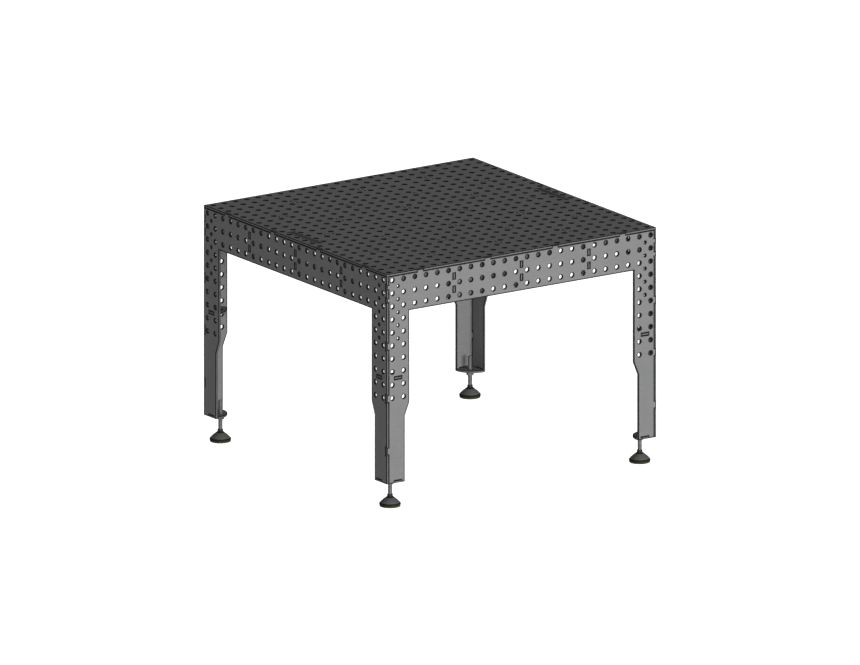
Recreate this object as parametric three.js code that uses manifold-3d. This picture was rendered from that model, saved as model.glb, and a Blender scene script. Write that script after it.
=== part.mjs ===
// A modular welding table: perforated plates that lock together with tabs and slots, on four screw feet.
// Frame: millimetres, +Z up, origin on the floor at the centre of the footprint, front face towards -Y.
// The clamp holes of the top are cut here. Those of the aprons and legs are left to the visual model.

import * as THREE from 'three';
import { mergeGeometries, mergeVertices } from 'three/addons/utils/BufferGeometryUtils.js';
import Module from 'manifold-3d';

const wasm = await Module();
wasm.setup();

// ---------------------------------------------------------------- driving dimensions

const SIDE = 1200;                 // length and width of the square top
const PLATE = 8;                   // thickness of every cut plate
const FRAME_HEIGHT = 800;          // lower ends of the legs to the working surface
const FOOT_STANDOFF = 97;          // floor to the lower ends of the legs, feet at their rest setting
const TOP_Z = FOOT_STANDOFF + FRAME_HEIGHT;
const HALF = SIDE / 2;
const FIT = 0.3;                   // clearance between a tab and its slot, on each side
const CUTTER_LENGTH = 3 * PLATE;   // long enough to pass right through a plate

// Clamp holes, on a square grid
const GRID = 50;
const GRID_MARGIN = 25;            // table edge to the first row of holes
const CLAMP_RADIUS = 8;
const CLAMP_HOLE_FACETS = 4;       // flats of a cut clamp hole; each flat touches the true circle

// Side panels: an apron with half a leg at each end. Depths are measured down from the working surface.
const APRON_DEPTH = 150;
const LEG_WIDTH = 100;
const LEG_FOOT_WIDTH = 80;
const TAPER_START_DEPTH = 500;
const TAPER_END_DEPTH = 550;

// Tabs. Places along a side are measured from the middle of the side.
const TAB = 30;
const SHORT_TAB = 20;
const TOP_TAB_PLACES = [-450, -150, 150, 450];
const CORNER_TABS = [
  { depth: 50, length: SHORT_TAB },
  { depth: 100, length: SHORT_TAB },
  { depth: 275, length: TAB },
  { depth: 475, length: TAB },
  { depth: 675, length: TAB },
];
const RIB_TAB_DEPTHS = [50, 100];

// Ribs: an egg crate under the top. Their outer bays are opened up, so that clamps reach the rim.
const RIB_PLACES = [-300, 0, 300];
const RIB_BOTTOM_DEPTH = 142;
const RIB_LAP_DEPTH = 75;
const BAY_MIDDLE = 450;            // middle of the table to the middle of an outer bay
const OPENING_TOP_DEPTH = 48;
const ARCH_LENGTH = 180;
const ARCH_RUN_OUT = 40;           // how far an arch's cutter reaches below the rib
const WINDOW_LENGTH = 250;
const WINDOW_BOTTOM_DEPTH = 98;
const OPENING_RADIUS = 22;
const OPENING_ARC_POINTS = 3;

// Corner plates: a stiffener half way up each leg and a foot plate at its end
const CORNER_PLATE_RADIUS = 76;
const CORNER_TAB_INSET = 50;       // outer corner of the table to the middle of the tab
const GUSSET_DEPTH = 400;          // middle of the stiffener
const FOOT_INSET = 44;             // outer faces to the axis of the foot

// Screw feet. Heights are above the floor, radii from the axis of the foot.
const THREAD_RADIUS = 8;
const THREAD_CLEARANCE = 0.15;
const STUD_TOP = 156;
const STUD_SHOULDER = 49;
const STUD_CHAMFER = 1.2;
const SHANK_RADIUS = 4.8;
const BALL_HEIGHT = 28;
const BALL_RADIUS = 9;
const LINER_INNER = 9.8;
const LINER_OUTER = 11.2;
const LINER_GAP = 1;               // each liner half stops this far from the ball's middle, to let it tilt
const RING_TOP = 35;
const CUP_OPENING_ANGLE = Math.PI / 8;
const SOCKET_RADIUS = 12.2;
const NUT_ACROSS_FLATS = 24;
const NUT_HEIGHT = 13;
const PAD_RADIUS = 39;
const PAD_HEIGHT = 7;
const PAD_CHAMFER = 1;
const BASE_RADIUS = 40;
const BASE_TOP = 33;
const BASE_RIM_TOP = 11;
const BELL_BULGE = 1;              // how far the bell's flank stands out from a straight cone
const NECK_RADIUS = 16.2;
const SOCKET_FLOOR = 15;
const COLLAR_RADIUS = 10.3;
const COLLAR_SHOULDER = 38;
const COLLAR_TOP = 46;
const COLLAR_BORE = 8.3;
const COLLAR_MOUTH = 9.3;
const ROUND_FACETS = 12;
const ARC_STEPS = 3;

// ---------------------------------------------------------------- materials

const METALNESS = 0.8;
const steel = (color, roughness) => () => (
  new THREE.MeshStandardMaterial({ color, roughness, metalness: METALNESS })
);
const plateSteel = steel(0x6b6d70, 0.55);
const ribSteel = steel(0x5c5e61, 0.6);
const studSteel = steel(0x9a9691, 0.35);
const nutSteel = steel(0x8d8a86, 0.4);
const baseSteel = steel(0x77736f, 0.45);
const linerPlastic = () => new THREE.MeshStandardMaterial({ color: 0xe4e1d8, roughness: 0.5, metalness: 0 });
const padRubber = () => new THREE.MeshStandardMaterial({ color: 0x2f3020, roughness: 0.9, metalness: 0 });

// ---------------------------------------------------------------- solids

function toSolid(geometry) {
  const bare = geometry.clone();
  bare.deleteAttribute('normal');
  bare.deleteAttribute('uv');
  const merged = mergeVertices(bare);
  return new wasm.Manifold(new wasm.Mesh({
    numProp: 3,
    vertProperties: merged.attributes.position.array,
    triVerts: new Uint32Array(merged.index.array),
  }));
}

function toGeometry(solid) {
  const mesh = solid.getMesh();
  const geometry = new THREE.BufferGeometry();
  geometry.setAttribute('position', new THREE.BufferAttribute(mesh.vertProperties, 3));
  geometry.setIndex(new THREE.BufferAttribute(mesh.triVerts, 1));
  geometry.computeVertexNormals();
  return geometry;
}

// Cuts tools that don't touch each other out of a body.
function cut(body, tools) {
  return toGeometry(toSolid(body).subtract(toSolid(mergeGeometries(tools))));
}

function named(name, geometry, material) {
  const mesh = new THREE.Mesh(geometry, material());
  mesh.name = name;
  return mesh;
}

// A plate lies in the XY plane, with its thickness from z = 0 to z = PLATE.
function plate(outline) {
  return new THREE.ExtrudeGeometry(new THREE.Shape(outline), { depth: PLATE, bevelEnabled: false });
}

// A prism with flats that touch the true circle, right through a plate at (x, y).
function holeTool(x, y, radius, facets) {
  const cornerRadius = radius / Math.cos(Math.PI / facets);
  const tool = new THREE.CylinderGeometry(cornerRadius, cornerRadius, CUTTER_LENGTH, facets);
  tool.rotateY(Math.PI / facets);
  tool.rotateX(Math.PI / 2);
  tool.translate(x, y, PLATE / 2);
  return tool;
}

// A slot for a tab of the given size, right through a plate at (x, y).
function slotTool(x, y, width, height) {
  const tool = new THREE.BoxGeometry(width + 2 * FIT, height + 2 * FIT, CUTTER_LENGTH);
  tool.translate(x, y, PLATE / 2);
  return tool;
}

// One straight edge of an outline that runs anticlockwise. Each step is a rectangle at a distance along
// the edge: a tab where reach is positive, a notch where it is negative. The edge's end is left out.
function steppedEdge(start, end, steps) {
  const along = end.clone().sub(start).normalize();
  const outward = new THREE.Vector2(along.y, -along.x);
  const place = (distance, reach) => {
    const onEdge = start.clone().addScaledVector(along, distance);
    return onEdge.addScaledVector(outward, reach);
  };
  const points = [start.clone()];
  for (const { distance, length, reach } of steps) {
    const from = distance - length / 2;
    const to = distance + length / 2;
    points.push(place(from, 0), place(from, reach), place(to, reach), place(to, 0));
  }
  return points;
}

const tabStep = (distance, length) => ({ distance, length, reach: PLATE });
const notchStep = (distance, length, depth = PLATE + FIT) => (
  { distance, length: length + 2 * FIT, reach: -depth }
);
const point = (x, y) => new THREE.Vector2(x, y);
const heightAt = (depth) => TOP_Z - depth;

// Places of the grid's columns, from one end of a side to the other
function gridPlaces() {
  const places = [];
  for (let place = GRID_MARGIN - HALF; place < HALF; place += GRID) places.push(place);
  return places;
}

// ---------------------------------------------------------------- table top

function topPlate() {
  const edgeNotches = TOP_TAB_PLACES.map((place) => notchStep(HALF + place, TAB));
  const corners = [point(-HALF, -HALF), point(HALF, -HALF), point(HALF, HALF), point(-HALF, HALF)];
  const outline = corners.flatMap((corner, i) => {
    const next = corners[(i + 1) % corners.length];
    return steppedEdge(corner, next, edgeNotches);
  });
  const tools = [];
  for (const x of gridPlaces()) {
    for (const y of gridPlaces()) tools.push(holeTool(x, y, CLAMP_RADIUS, CLAMP_HOLE_FACETS));
  }
  for (const rib of RIB_PLACES) {
    for (const place of TOP_TAB_PLACES) {
      tools.push(slotTool(place, rib, TAB, PLATE));
      tools.push(slotTool(rib, place, PLATE, TAB));
    }
  }
  const mesh = named('top_plate', cut(plate(outline), tools), plateSteel);
  mesh.position.z = TOP_Z - PLATE;
  return mesh;
}

// ---------------------------------------------------------------- side panels

// Half a leg's free edges, from the panel's lower corner round to the middle of the apron's lower edge
function legInnerEdge(side) {
  return [
    point(side * (HALF - LEG_FOOT_WIDTH), FOOT_STANDOFF),
    point(side * (HALF - LEG_FOOT_WIDTH), heightAt(TAPER_END_DEPTH)),
    point(side * (HALF - LEG_WIDTH), heightAt(TAPER_START_DEPTH)),
    point(side * (HALF - LEG_WIDTH), heightAt(APRON_DEPTH)),
  ];
}

// A panel's outline, X along the side and Y up. An inset panel has tabs at its ends, an outer one notches.
function panelOutline(inset) {
  const reach = inset ? HALF - PLATE : HALF;
  const edgeTop = TOP_Z - PLATE;
  const cornerStep = inset ? tabStep : notchStep;
  const down = CORNER_TABS.map(({ depth, length }) => cornerStep(edgeTop - heightAt(depth), length));
  const up = CORNER_TABS.map(({ depth, length }) => cornerStep(heightAt(depth) - FOOT_STANDOFF, length));
  up.reverse();
  const topTabs = TOP_TAB_PLACES.map((place) => tabStep(reach + place, TAB));
  const footFromOuterEnd = notchStep(CORNER_TAB_INSET - (HALF - reach), TAB);
  const footFromInnerEnd = notchStep(LEG_FOOT_WIDTH - CORNER_TAB_INSET, TAB);
  const leftLeg = legInnerEdge(-1);
  const rightLeg = legInnerEdge(1).reverse();
  return [
    ...steppedEdge(point(-reach, FOOT_STANDOFF), leftLeg[0], [footFromOuterEnd]),
    ...leftLeg,
    ...rightLeg.slice(0, -1),
    ...steppedEdge(rightLeg.at(-1), point(reach, FOOT_STANDOFF), [footFromInnerEnd]),
    ...steppedEdge(point(reach, FOOT_STANDOFF), point(reach, edgeTop), up),
    ...steppedEdge(point(reach, edgeTop), point(-reach, edgeTop), topTabs),
    ...steppedEdge(point(-reach, edgeTop), point(-reach, FOOT_STANDOFF), down),
  ];
}

function panelSlots() {
  const tools = [];
  for (const x of RIB_PLACES) {
    for (const depth of RIB_TAB_DEPTHS) tools.push(slotTool(x, heightAt(depth), PLATE, SHORT_TAB));
  }
  for (const x of [CORNER_TAB_INSET - HALF, HALF - CORNER_TAB_INSET]) {
    tools.push(slotTool(x, heightAt(GUSSET_DEPTH), TAB, PLATE));
  }
  return tools;
}

// A panel stands on the front side of the table, and its group turns it to its own side.
function sidePanel(name, inset, turn) {
  const mesh = named(name, cut(plate(panelOutline(inset)), panelSlots()), plateSteel);
  mesh.rotation.x = Math.PI / 2;
  mesh.position.y = PLATE - HALF;
  return turned(turn, mesh);
}

function turned(turn, ...meshes) {
  const group = new THREE.Group();
  group.add(...meshes);
  group.rotation.z = turn;
  return group;
}

// ---------------------------------------------------------------- ribs

// A rib's outline, X along the rib and Y up. Lower laps open downwards and upper laps open upwards.
function ribOutline(lapsOpenDown) {
  const end = HALF - PLATE;
  const edgeTop = TOP_Z - PLATE;
  const edgeBottom = heightAt(RIB_BOTTOM_DEPTH);
  const lapDepth = (lapsOpenDown ? RIB_BOTTOM_DEPTH - RIB_LAP_DEPTH : RIB_LAP_DEPTH - PLATE) + FIT / 2;
  const laps = RIB_PLACES.map((place) => notchStep(end + place, PLATE, lapDepth));
  const topTabs = TOP_TAB_PLACES.map((place) => tabStep(end + place, TAB));
  const topSteps = lapsOpenDown ? topTabs : [...topTabs, ...laps].sort((a, b) => a.distance - b.distance);
  const endTabs = RIB_TAB_DEPTHS.map((depth) => tabStep(edgeTop - heightAt(depth), SHORT_TAB));
  const endTabsUp = RIB_TAB_DEPTHS.map((depth) => tabStep(heightAt(depth) - edgeBottom, SHORT_TAB)).reverse();
  return [
    ...steppedEdge(point(-end, edgeBottom), point(end, edgeBottom), lapsOpenDown ? laps : []),
    ...steppedEdge(point(end, edgeBottom), point(end, edgeTop), endTabsUp),
    ...steppedEdge(point(end, edgeTop), point(-end, edgeTop), topSteps),
    ...steppedEdge(point(-end, edgeTop), point(-end, edgeBottom), endTabs),
  ];
}

// A cutter with rounded corners, right through a rib, between two depths
function openingTool(middle, length, topDepth, bottomDepth) {
  const [left, right] = [middle - length / 2 + OPENING_RADIUS, middle + length / 2 - OPENING_RADIUS];
  const [low, high] = [heightAt(bottomDepth) + OPENING_RADIUS, heightAt(topDepth) - OPENING_RADIUS];
  const outline = new THREE.Path();
  outline.absarc(right, high, OPENING_RADIUS, 0, Math.PI / 2);
  outline.absarc(left, high, OPENING_RADIUS, Math.PI / 2, Math.PI);
  outline.absarc(left, low, OPENING_RADIUS, Math.PI, 1.5 * Math.PI);
  outline.absarc(right, low, OPENING_RADIUS, 1.5 * Math.PI, 2 * Math.PI);
  const shape = new THREE.Shape(outline.getPoints(OPENING_ARC_POINTS));
  const tool = new THREE.ExtrudeGeometry(shape, { depth: CUTTER_LENGTH, bevelEnabled: false });
  return tool.translate(0, 0, -PLATE);
}

// The middle rib of each three has a closed window in each outer bay, and the others an arch open below.
function rib(name, place, lapsOpenDown) {
  const [length, bottomDepth] = place === 0
    ? [WINDOW_LENGTH, WINDOW_BOTTOM_DEPTH]
    : [ARCH_LENGTH, RIB_BOTTOM_DEPTH + ARCH_RUN_OUT];
  const tools = [-BAY_MIDDLE, BAY_MIDDLE].map((middle) => (
    openingTool(middle, length, OPENING_TOP_DEPTH, bottomDepth)
  ));
  const mesh = named(name, cut(plate(ribOutline(lapsOpenDown)), tools), ribSteel);
  mesh.rotation.x = Math.PI / 2;
  mesh.position.y = place + PLATE / 2;
  return mesh;
}

// ---------------------------------------------------------------- corner plates

// A quarter disc in the inner corner of a leg, with a tab in each panel. The inner corner is its origin.
function cornerPlate(holeRadius) {
  const tab = tabStep(CORNER_TAB_INSET - PLATE, TAB);
  const tabFromFarEnd = tabStep(CORNER_PLATE_RADIUS - tab.distance, TAB);
  const arc = new THREE.Path().absarc(0, 0, CORNER_PLATE_RADIUS, 0, Math.PI / 2).getPoints(2 * ARC_STEPS);
  const outline = [
    ...steppedEdge(point(0, 0), point(CORNER_PLATE_RADIUS, 0), [tab]),
    ...arc.slice(0, -1),
    ...steppedEdge(point(0, CORNER_PLATE_RADIUS), point(0, 0), [tabFromFarEnd]),
  ].filter((place, i, all) => i === 0 || place.distanceTo(all[i - 1]) > FIT);
  const holeInset = FOOT_INSET - PLATE;
  return cut(plate(outline), [holeTool(holeInset, holeInset, holeRadius, ROUND_FACETS)]);
}

function placedCornerPlate(name, geometry, height) {
  const mesh = named(name, geometry, plateSteel);
  mesh.position.set(PLATE - HALF, PLATE - HALF, height);
  return mesh;
}

// ---------------------------------------------------------------- screw feet

// Turns a profile of [radius, height] pairs about the axis of the foot.
function lathe(profile) {
  return new THREE.LatheGeometry(profile.map(([radius, height]) => point(radius, height)), ROUND_FACETS);
}

// Points on a circle about the ball's centre, from one height to another, both measured from that centre
function ballArc(radius, fromHeight, toHeight) {
  const from = Math.asin(fromHeight / radius);
  const to = Math.asin(toHeight / radius);
  const points = [];
  for (let step = 0; step <= ARC_STEPS; step += 1) {
    const angle = from + (to - from) * step / ARC_STEPS;
    points.push([radius * Math.cos(angle), BALL_HEIGHT + radius * Math.sin(angle)]);
  }
  return points;
}

function stud() {
  const neckHeight = Math.sqrt(BALL_RADIUS ** 2 - SHANK_RADIUS ** 2);
  const bottom = [0, BALL_HEIGHT - BALL_RADIUS];
  return lathe([
    bottom,
    ...ballArc(BALL_RADIUS, -BALL_RADIUS, neckHeight).slice(1),
    [SHANK_RADIUS, STUD_SHOULDER],
    [THREAD_RADIUS, STUD_SHOULDER],
    [THREAD_RADIUS, STUD_TOP - STUD_CHAMFER],
    [THREAD_RADIUS - STUD_CHAMFER, STUD_TOP],
    [0, STUD_TOP],
  ]);
}

// The lower liner cup carries the ball, and stays upright while the base tilts round it.
function ballCup() {
  const outerBottom = -LINER_OUTER * Math.cos(CUP_OPENING_ANGLE);
  const innerBottom = -LINER_INNER * Math.cos(CUP_OPENING_ANGLE);
  return lathe([
    ...ballArc(LINER_OUTER, outerBottom, -LINER_GAP),
    ...ballArc(LINER_INNER, -LINER_GAP, innerBottom),
    [LINER_OUTER * Math.sin(CUP_OPENING_ANGLE), BALL_HEIGHT + outerBottom],
  ]);
}

// The upper liner ring holds the ball down under the collar.
function ballRing() {
  const top = RING_TOP - BALL_HEIGHT;
  return lathe([
    ...ballArc(LINER_OUTER, LINER_GAP, top),
    ...ballArc(LINER_INNER, top, LINER_GAP),
    [Math.sqrt(LINER_OUTER ** 2 - LINER_GAP ** 2), BALL_HEIGHT + LINER_GAP],
  ]);
}

// The flank of the base, from its rim up to its neck: a cone that bulges a little
function bellFlank() {
  const rim = point(BASE_RADIUS, BASE_RIM_TOP);
  const neck = point(NECK_RADIUS, BASE_TOP);
  const slope = neck.clone().sub(rim).normalize();
  const outward = point(slope.y, -slope.x);
  const places = [];
  for (let step = 0; step <= ARC_STEPS; step += 1) {
    const share = step / ARC_STEPS;
    const bulge = BELL_BULGE * Math.sin(Math.PI * share);
    const place = rim.clone().lerp(neck, share).addScaledVector(outward, bulge);
    places.push([place.x, place.y]);
  }
  return places;
}

function footBase() {
  const socketBottom = SOCKET_FLOOR + 1 - BALL_HEIGHT;
  return lathe([
    [0, PAD_HEIGHT],
    [BASE_RADIUS, PAD_HEIGHT],
    ...bellFlank(),
    [SOCKET_RADIUS, BASE_TOP],
    ...ballArc(SOCKET_RADIUS, 0, socketBottom),
    [0, SOCKET_FLOOR],
  ]);
}

function footCollar() {
  const boreHeight = Math.sqrt(SOCKET_RADIUS ** 2 - COLLAR_BORE ** 2);
  const seatBottom = BASE_TOP - BALL_HEIGHT;
  return lathe([
    ...ballArc(SOCKET_RADIUS, boreHeight, seatBottom),
    [NECK_RADIUS, BASE_TOP],
    [COLLAR_RADIUS, COLLAR_SHOULDER],
    [COLLAR_RADIUS, COLLAR_TOP],
    [COLLAR_MOUTH, COLLAR_TOP],
    [COLLAR_BORE, BALL_HEIGHT + boreHeight],
  ]);
}

function footPad() {
  return lathe([
    [0, 0],
    [PAD_RADIUS - PAD_CHAMFER, 0],
    [PAD_RADIUS, PAD_CHAMFER],
    [PAD_RADIUS, PAD_HEIGHT],
    [0, PAD_HEIGHT],
  ]);
}

function lockNut() {
  const cornerRadius = NUT_ACROSS_FLATS / 2 / Math.cos(Math.PI / 6);
  const body = new THREE.CylinderGeometry(cornerRadius, cornerRadius, NUT_HEIGHT, 6);
  const bore = (THREAD_RADIUS + THREAD_CLEARANCE) / Math.cos(Math.PI / ROUND_FACETS);
  const nut = cut(body, [new THREE.CylinderGeometry(bore, bore, CUTTER_LENGTH, ROUND_FACETS)]);
  nut.rotateX(Math.PI / 2);
  nut.translate(0, 0, FOOT_STANDOFF - FIT - NUT_HEIGHT / 2);
  return nut;
}

// A foot stands under the front left leg, and its group turns it to its own corner.
function foot(corner) {
  const pieces = [
    named(`stud_${corner}`, upright(stud()), studSteel),
    named(`lock_nut_${corner}`, lockNut(), nutSteel),
    named(`ball_cup_${corner}`, upright(ballCup()), linerPlastic),
    named(`ball_ring_${corner}`, upright(ballRing()), linerPlastic),
    named(`foot_base_${corner}`, upright(footBase()), baseSteel),
    named(`foot_collar_${corner}`, upright(footCollar()), baseSteel),
    named(`foot_pad_${corner}`, upright(footPad()), padRubber),
  ];
  for (const piece of pieces) piece.position.set(FOOT_INSET - HALF, FOOT_INSET - HALF, 0);
  return pieces;
}

// A lathe turns about Y, and a foot stands along Z.
function upright(geometry) {
  return geometry.rotateX(Math.PI / 2);
}

// ---------------------------------------------------------------- the table

const QUARTER_TURN = Math.PI / 2;
const table = new THREE.Group();

table.add(topPlate());
table.add(sidePanel('front_panel', true, 0));
table.add(sidePanel('right_panel', false, QUARTER_TURN));
table.add(sidePanel('back_panel', true, 2 * QUARTER_TURN));
table.add(sidePanel('left_panel', false, -QUARTER_TURN));

const LONG_RIB_NAMES = ['rib_long_front', 'rib_long_middle', 'rib_long_back'];
const CROSS_RIB_NAMES = ['rib_cross_right', 'rib_cross_middle', 'rib_cross_left'];
RIB_PLACES.forEach((place, i) => {
  table.add(rib(LONG_RIB_NAMES[i], place, true));
  table.add(turned(QUARTER_TURN, rib(CROSS_RIB_NAMES[i], place, false)));
});

const gusset = cornerPlate(CLAMP_RADIUS);
const footPlate = cornerPlate(THREAD_RADIUS + THREAD_CLEARANCE);
['front_left', 'front_right', 'back_right', 'back_left'].forEach((corner, i) => {
  table.add(turned(
    i * QUARTER_TURN,
    placedCornerPlate(`leg_gusset_${corner}`, gusset, heightAt(GUSSET_DEPTH) - PLATE / 2),
    placedCornerPlate(`foot_plate_${corner}`, footPlate, FOOT_STANDOFF),
    ...foot(corner),
  ));
});

export default table;
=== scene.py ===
"""Looks of the welding table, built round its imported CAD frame.

Everything is in metres, in the frame's axes.
"""
import math

import bmesh
import bpy
import numpy as np
from mathutils import Matrix, Vector
from mathutils.geometry import delaunay_2d_cdt


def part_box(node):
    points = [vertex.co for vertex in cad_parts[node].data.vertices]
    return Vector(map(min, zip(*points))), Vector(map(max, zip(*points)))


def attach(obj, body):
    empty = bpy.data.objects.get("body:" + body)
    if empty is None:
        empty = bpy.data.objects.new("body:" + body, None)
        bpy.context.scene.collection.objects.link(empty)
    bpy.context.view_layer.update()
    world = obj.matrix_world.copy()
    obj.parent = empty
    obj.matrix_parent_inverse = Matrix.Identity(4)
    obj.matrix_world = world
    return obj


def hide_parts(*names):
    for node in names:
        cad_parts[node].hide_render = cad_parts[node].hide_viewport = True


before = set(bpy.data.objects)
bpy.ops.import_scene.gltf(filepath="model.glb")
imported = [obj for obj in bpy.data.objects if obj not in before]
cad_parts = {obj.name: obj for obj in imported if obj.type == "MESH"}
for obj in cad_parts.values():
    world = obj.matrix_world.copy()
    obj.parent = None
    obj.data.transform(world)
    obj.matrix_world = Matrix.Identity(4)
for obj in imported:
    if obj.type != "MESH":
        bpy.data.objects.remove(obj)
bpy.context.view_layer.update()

MM = 0.001
DIGITS = 4                         # lengths read from the frame are rounded to a tenth of a millimetre
MERGE_DISTANCE = 1e-7              # points closer than this are one point
ON_AXIS = 0.01 * MM                # a profile's point closer to the axis than this lies on it
SHARP_ANGLE = math.radians(30)     # an edge that bends more than this isn't smoothed over
INNER_TRIANGLES = 1                # asks delaunay_2d_cdt for the triangles inside the loops

# ---------------------------------------------------------------- driving dimensions

TOP_LOW, TOP_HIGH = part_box("top_plate")
SIDE = round(TOP_HIGH.x - TOP_LOW.x, DIGITS)
HALF = SIDE / 2
TOP_Z = round(TOP_HIGH.z, DIGITS)
PLATE = round(TOP_HIGH.z - TOP_LOW.z, DIGITS)
LEG_END = round(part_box("left_panel")[0].z, DIGITS)
FIT = 0.3 * MM                     # play left round a tab, on each side

# Clamp holes, on one square grid that runs over the top and down the sides
GRID = 50 * MM
GRID_MARGIN = 25 * MM
CLAMP_RADIUS = 8 * MM
SMALL_RADIUS = 5 * MM
CIRCLE_STEPS = 24

# Side panels. Depths are measured down from the working surface.
APRON_DEPTH = 150 * MM
LEG_WIDTH = 100 * MM
LEG_FOOT_WIDTH = 80 * MM
TAPER_START_DEPTH = 500 * MM
TAPER_END_DEPTH = 550 * MM
LEG_HOLE_COLUMNS = 2
APRON_HOLE_ROWS = 3
LEG_HOLE_ROWS = 10
SMALL_HOLE_INSET = 50 * MM
SMALL_HOLE_ROWS = 5

# Tabs. Places along a side are measured from its middle.
TAB = 30 * MM
SHORT_TAB = 20 * MM
TOP_TAB_PLACES = (-450 * MM, -150 * MM, 150 * MM, 450 * MM)
CORNER_TABS = (
    (50 * MM, SHORT_TAB),
    (100 * MM, SHORT_TAB),
    (275 * MM, TAB),
    (475 * MM, TAB),
    (675 * MM, TAB),
)
RIB_TAB_DEPTHS = (50 * MM, 100 * MM)

# Ribs
RIB_PLACES = (-300 * MM, 0.0, 300 * MM)
RIB_BOTTOM_DEPTH = 142 * MM
RIB_LAP_DEPTH = 75 * MM
BAY_MIDDLE = 450 * MM
OPENING_TOP_DEPTH = 48 * MM
ARCH_LENGTH = 180 * MM
WINDOW_LENGTH = 250 * MM
WINDOW_BOTTOM_DEPTH = 98 * MM
OPENING_RADIUS = 22 * MM
OPENING_STEPS = 8

# Corner plates
CORNER_PLATE_RADIUS = 76 * MM
CORNER_TAB_INSET = 50 * MM
GUSSET_DEPTH = 400 * MM
CORNER_PLATE_STEPS = 16

# Screw feet. Heights are above the floor, radii from the axis of the foot.
THREAD_RADIUS = 8 * MM
THREAD_CORE = 6.8 * MM
THREAD_PITCH = 2 * MM
THREAD_CLEARANCE = 0.15 * MM
THREAD_STEPS = 36
THREAD_SPARE_TURNS = 2             # cut off again at each end of the thread
STUD_TOP = 156 * MM
STUD_SHOULDER = 49 * MM
STUD_CHAMFER = 1.2 * MM
SHANK_RADIUS = 4.8 * MM
BALL_HEIGHT = 28 * MM
BALL_RADIUS = 9 * MM
LINER_INNER = 9.8 * MM
LINER_OUTER = 11.2 * MM
LINER_GAP = 1 * MM
RING_TOP = 35 * MM
CUP_OPENING_ANGLE = math.pi / 8
SOCKET_RADIUS = 12.2 * MM
SOCKET_FLOOR = 15 * MM
SOCKET_POINT = 1 * MM              # depth of the drill's point at the bottom of the socket
NUT_SIDES = 6
NUT_ACROSS_FLATS = 24 * MM
NUT_HEIGHT = 13 * MM
NUT_SHOULDER = 11.5 * MM           # where the chamfers of the nut's corners start
NUT_CHAMFER_ANGLE = math.pi / 6
NUT_MOUTH = 0.8 * MM               # countersink of the nut's bore
PAD_RADIUS = 39 * MM
PAD_HEIGHT = 7 * MM
PAD_FILLET = 1 * MM
BASE_RADIUS = 40 * MM
BASE_TOP = 33 * MM
BASE_RIM_TOP = 11 * MM
BASE_EDGE_FILLET = 0.6 * MM
BASE_RIM_FILLET = 0.8 * MM
BELL_BULGE = 1 * MM
NECK_RADIUS = 16.2 * MM
NECK_FILLET = 0.5 * MM
COLLAR_RADIUS = 10.3 * MM
COLLAR_SHOULDER = 38 * MM
COLLAR_TOP = 46 * MM
COLLAR_SHOULDER_FILLET = 1.5 * MM
COLLAR_TOP_FILLET = 0.4 * MM
COLLAR_BORE = 8.3 * MM
COLLAR_MOUTH = 9.3 * MM
LATHE_STEPS = 64
ARC_STEPS = 10
FILLET_STEPS = 4
NUT_STEPS_PER_FLAT = 12
# The thread's profile over one pitch: share of the pitch, and whether it is at the crest
THREAD_PROFILE = ((0.0, False), (0.25, False), (0.5625, True), (0.6875, True))

# Finish of the cut plates: the heat of each cut has darkened a band beside it, on the faces and on the cut.
# The walls of the holes are darker still: painted shade in the holes.
CHAMFER = 0.4 * MM
EDGE_TINT = 5 * MM
BORE_TINT = 3.6 * MM
TOP_BORE_TINT = 4.4 * MM
WALL_TINT = 2.2 * MM
FACE, EDGE, BORE = 0, 1, 2         # material slots of a plate: its faces, its outer edges and its holes

# Engraved scales that lie between the outer two columns of holes, on both sides of the top
SCALE_INSET = 50 * MM
SCALE_START = -90 * MM
SCALE_PITCH = 10 * MM
SCALE_TICKS = 20
TICK_WIDTH = 5 * MM
TICK_LENGTHS = (20 * MM, 20 * MM, 20 * MM, 20 * MM, 38 * MM)
TICK_DEPTH = 0.5 * MM
TICK_TINT = 1 * MM

# Brightness of the steels. The rolled faces of the plates go by their material slot.
PLATE_LEVELS = {"top_steel": 0.103, "panel_steel": 0.098, "rib_steel": 0.095}
EDGE_LEVEL = 0.11
# the ends of the ribs' tabs, flush with the top, are much lighter than the rest of their edges
FLUSH_END_LEVEL = 0.5
# painted shade: the walls of the holes are much darker than the faces around them
BORE_SHADE_LEVEL = 0.02
DARK_STEEL = 0.007
PLATE_METALLIC = 0.3
EDGE_METALLIC = 0.6
BORE_METALLIC = 0.3
TURNED_METALLIC = 0.7
STEEL_SHINE = 0.3
DARK_STEEL_SHINE = 0.05
MOULDED_SHINE = 0.2
STUD_LEVEL = 0.16
NUT_LEVEL = 0.09
BASE_LEVEL = 0.10
COLLAR_LEVEL = 0.012
BASE_BLACK_TOP = 15 * MM           # the base is blackened up to this height
BLACK_FADE = 0.5 * MM
FLUSH_END_DEPTH = 1 * MM                # a rib's edge is much lighter down to about this depth, where its tab ends lie flush with the top
WHITE = (1, 1, 1, 1)
RUBBER_DARK = (0.016, 0.019, 0.003, 1)
RUBBER_LIGHT = (0.036, 0.041, 0.007, 1)

# Patterns of the surfaces. The scale of a noise is in cells a metre.
NOISE_SPAN = (0.3, 0.7)            # most values of a noise lie between these
OXIDE_SPAN = (0.06, 0.32)          # the tint at which the oxide beside a cut starts, and is complete
OXIDE_WANDER = 0.05                # how far the tint is shifted to and fro, which makes that edge ragged
OXIDE_WANDER_SCALE = 700
OXIDE_WARMTH = -0.05
OXIDE_ROUGHNESS = 0.85
PLATE_ROUGHNESS = (0.60, 0.66)
SCRATCH_EDGE = 0.06
SCRATCH_COVER = 0.35               # how much of a scratch's brightness shows
SCRATCH_POLISH = 0.06              # how much smoother a scratch is
SCRATCH_DEPTH = 0.5
STAIN_ROUGHNESS = 0.2
GRAIN_ROUGHNESS = 0.08
FLOOR_ROUGHNESS = 0.9

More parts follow.
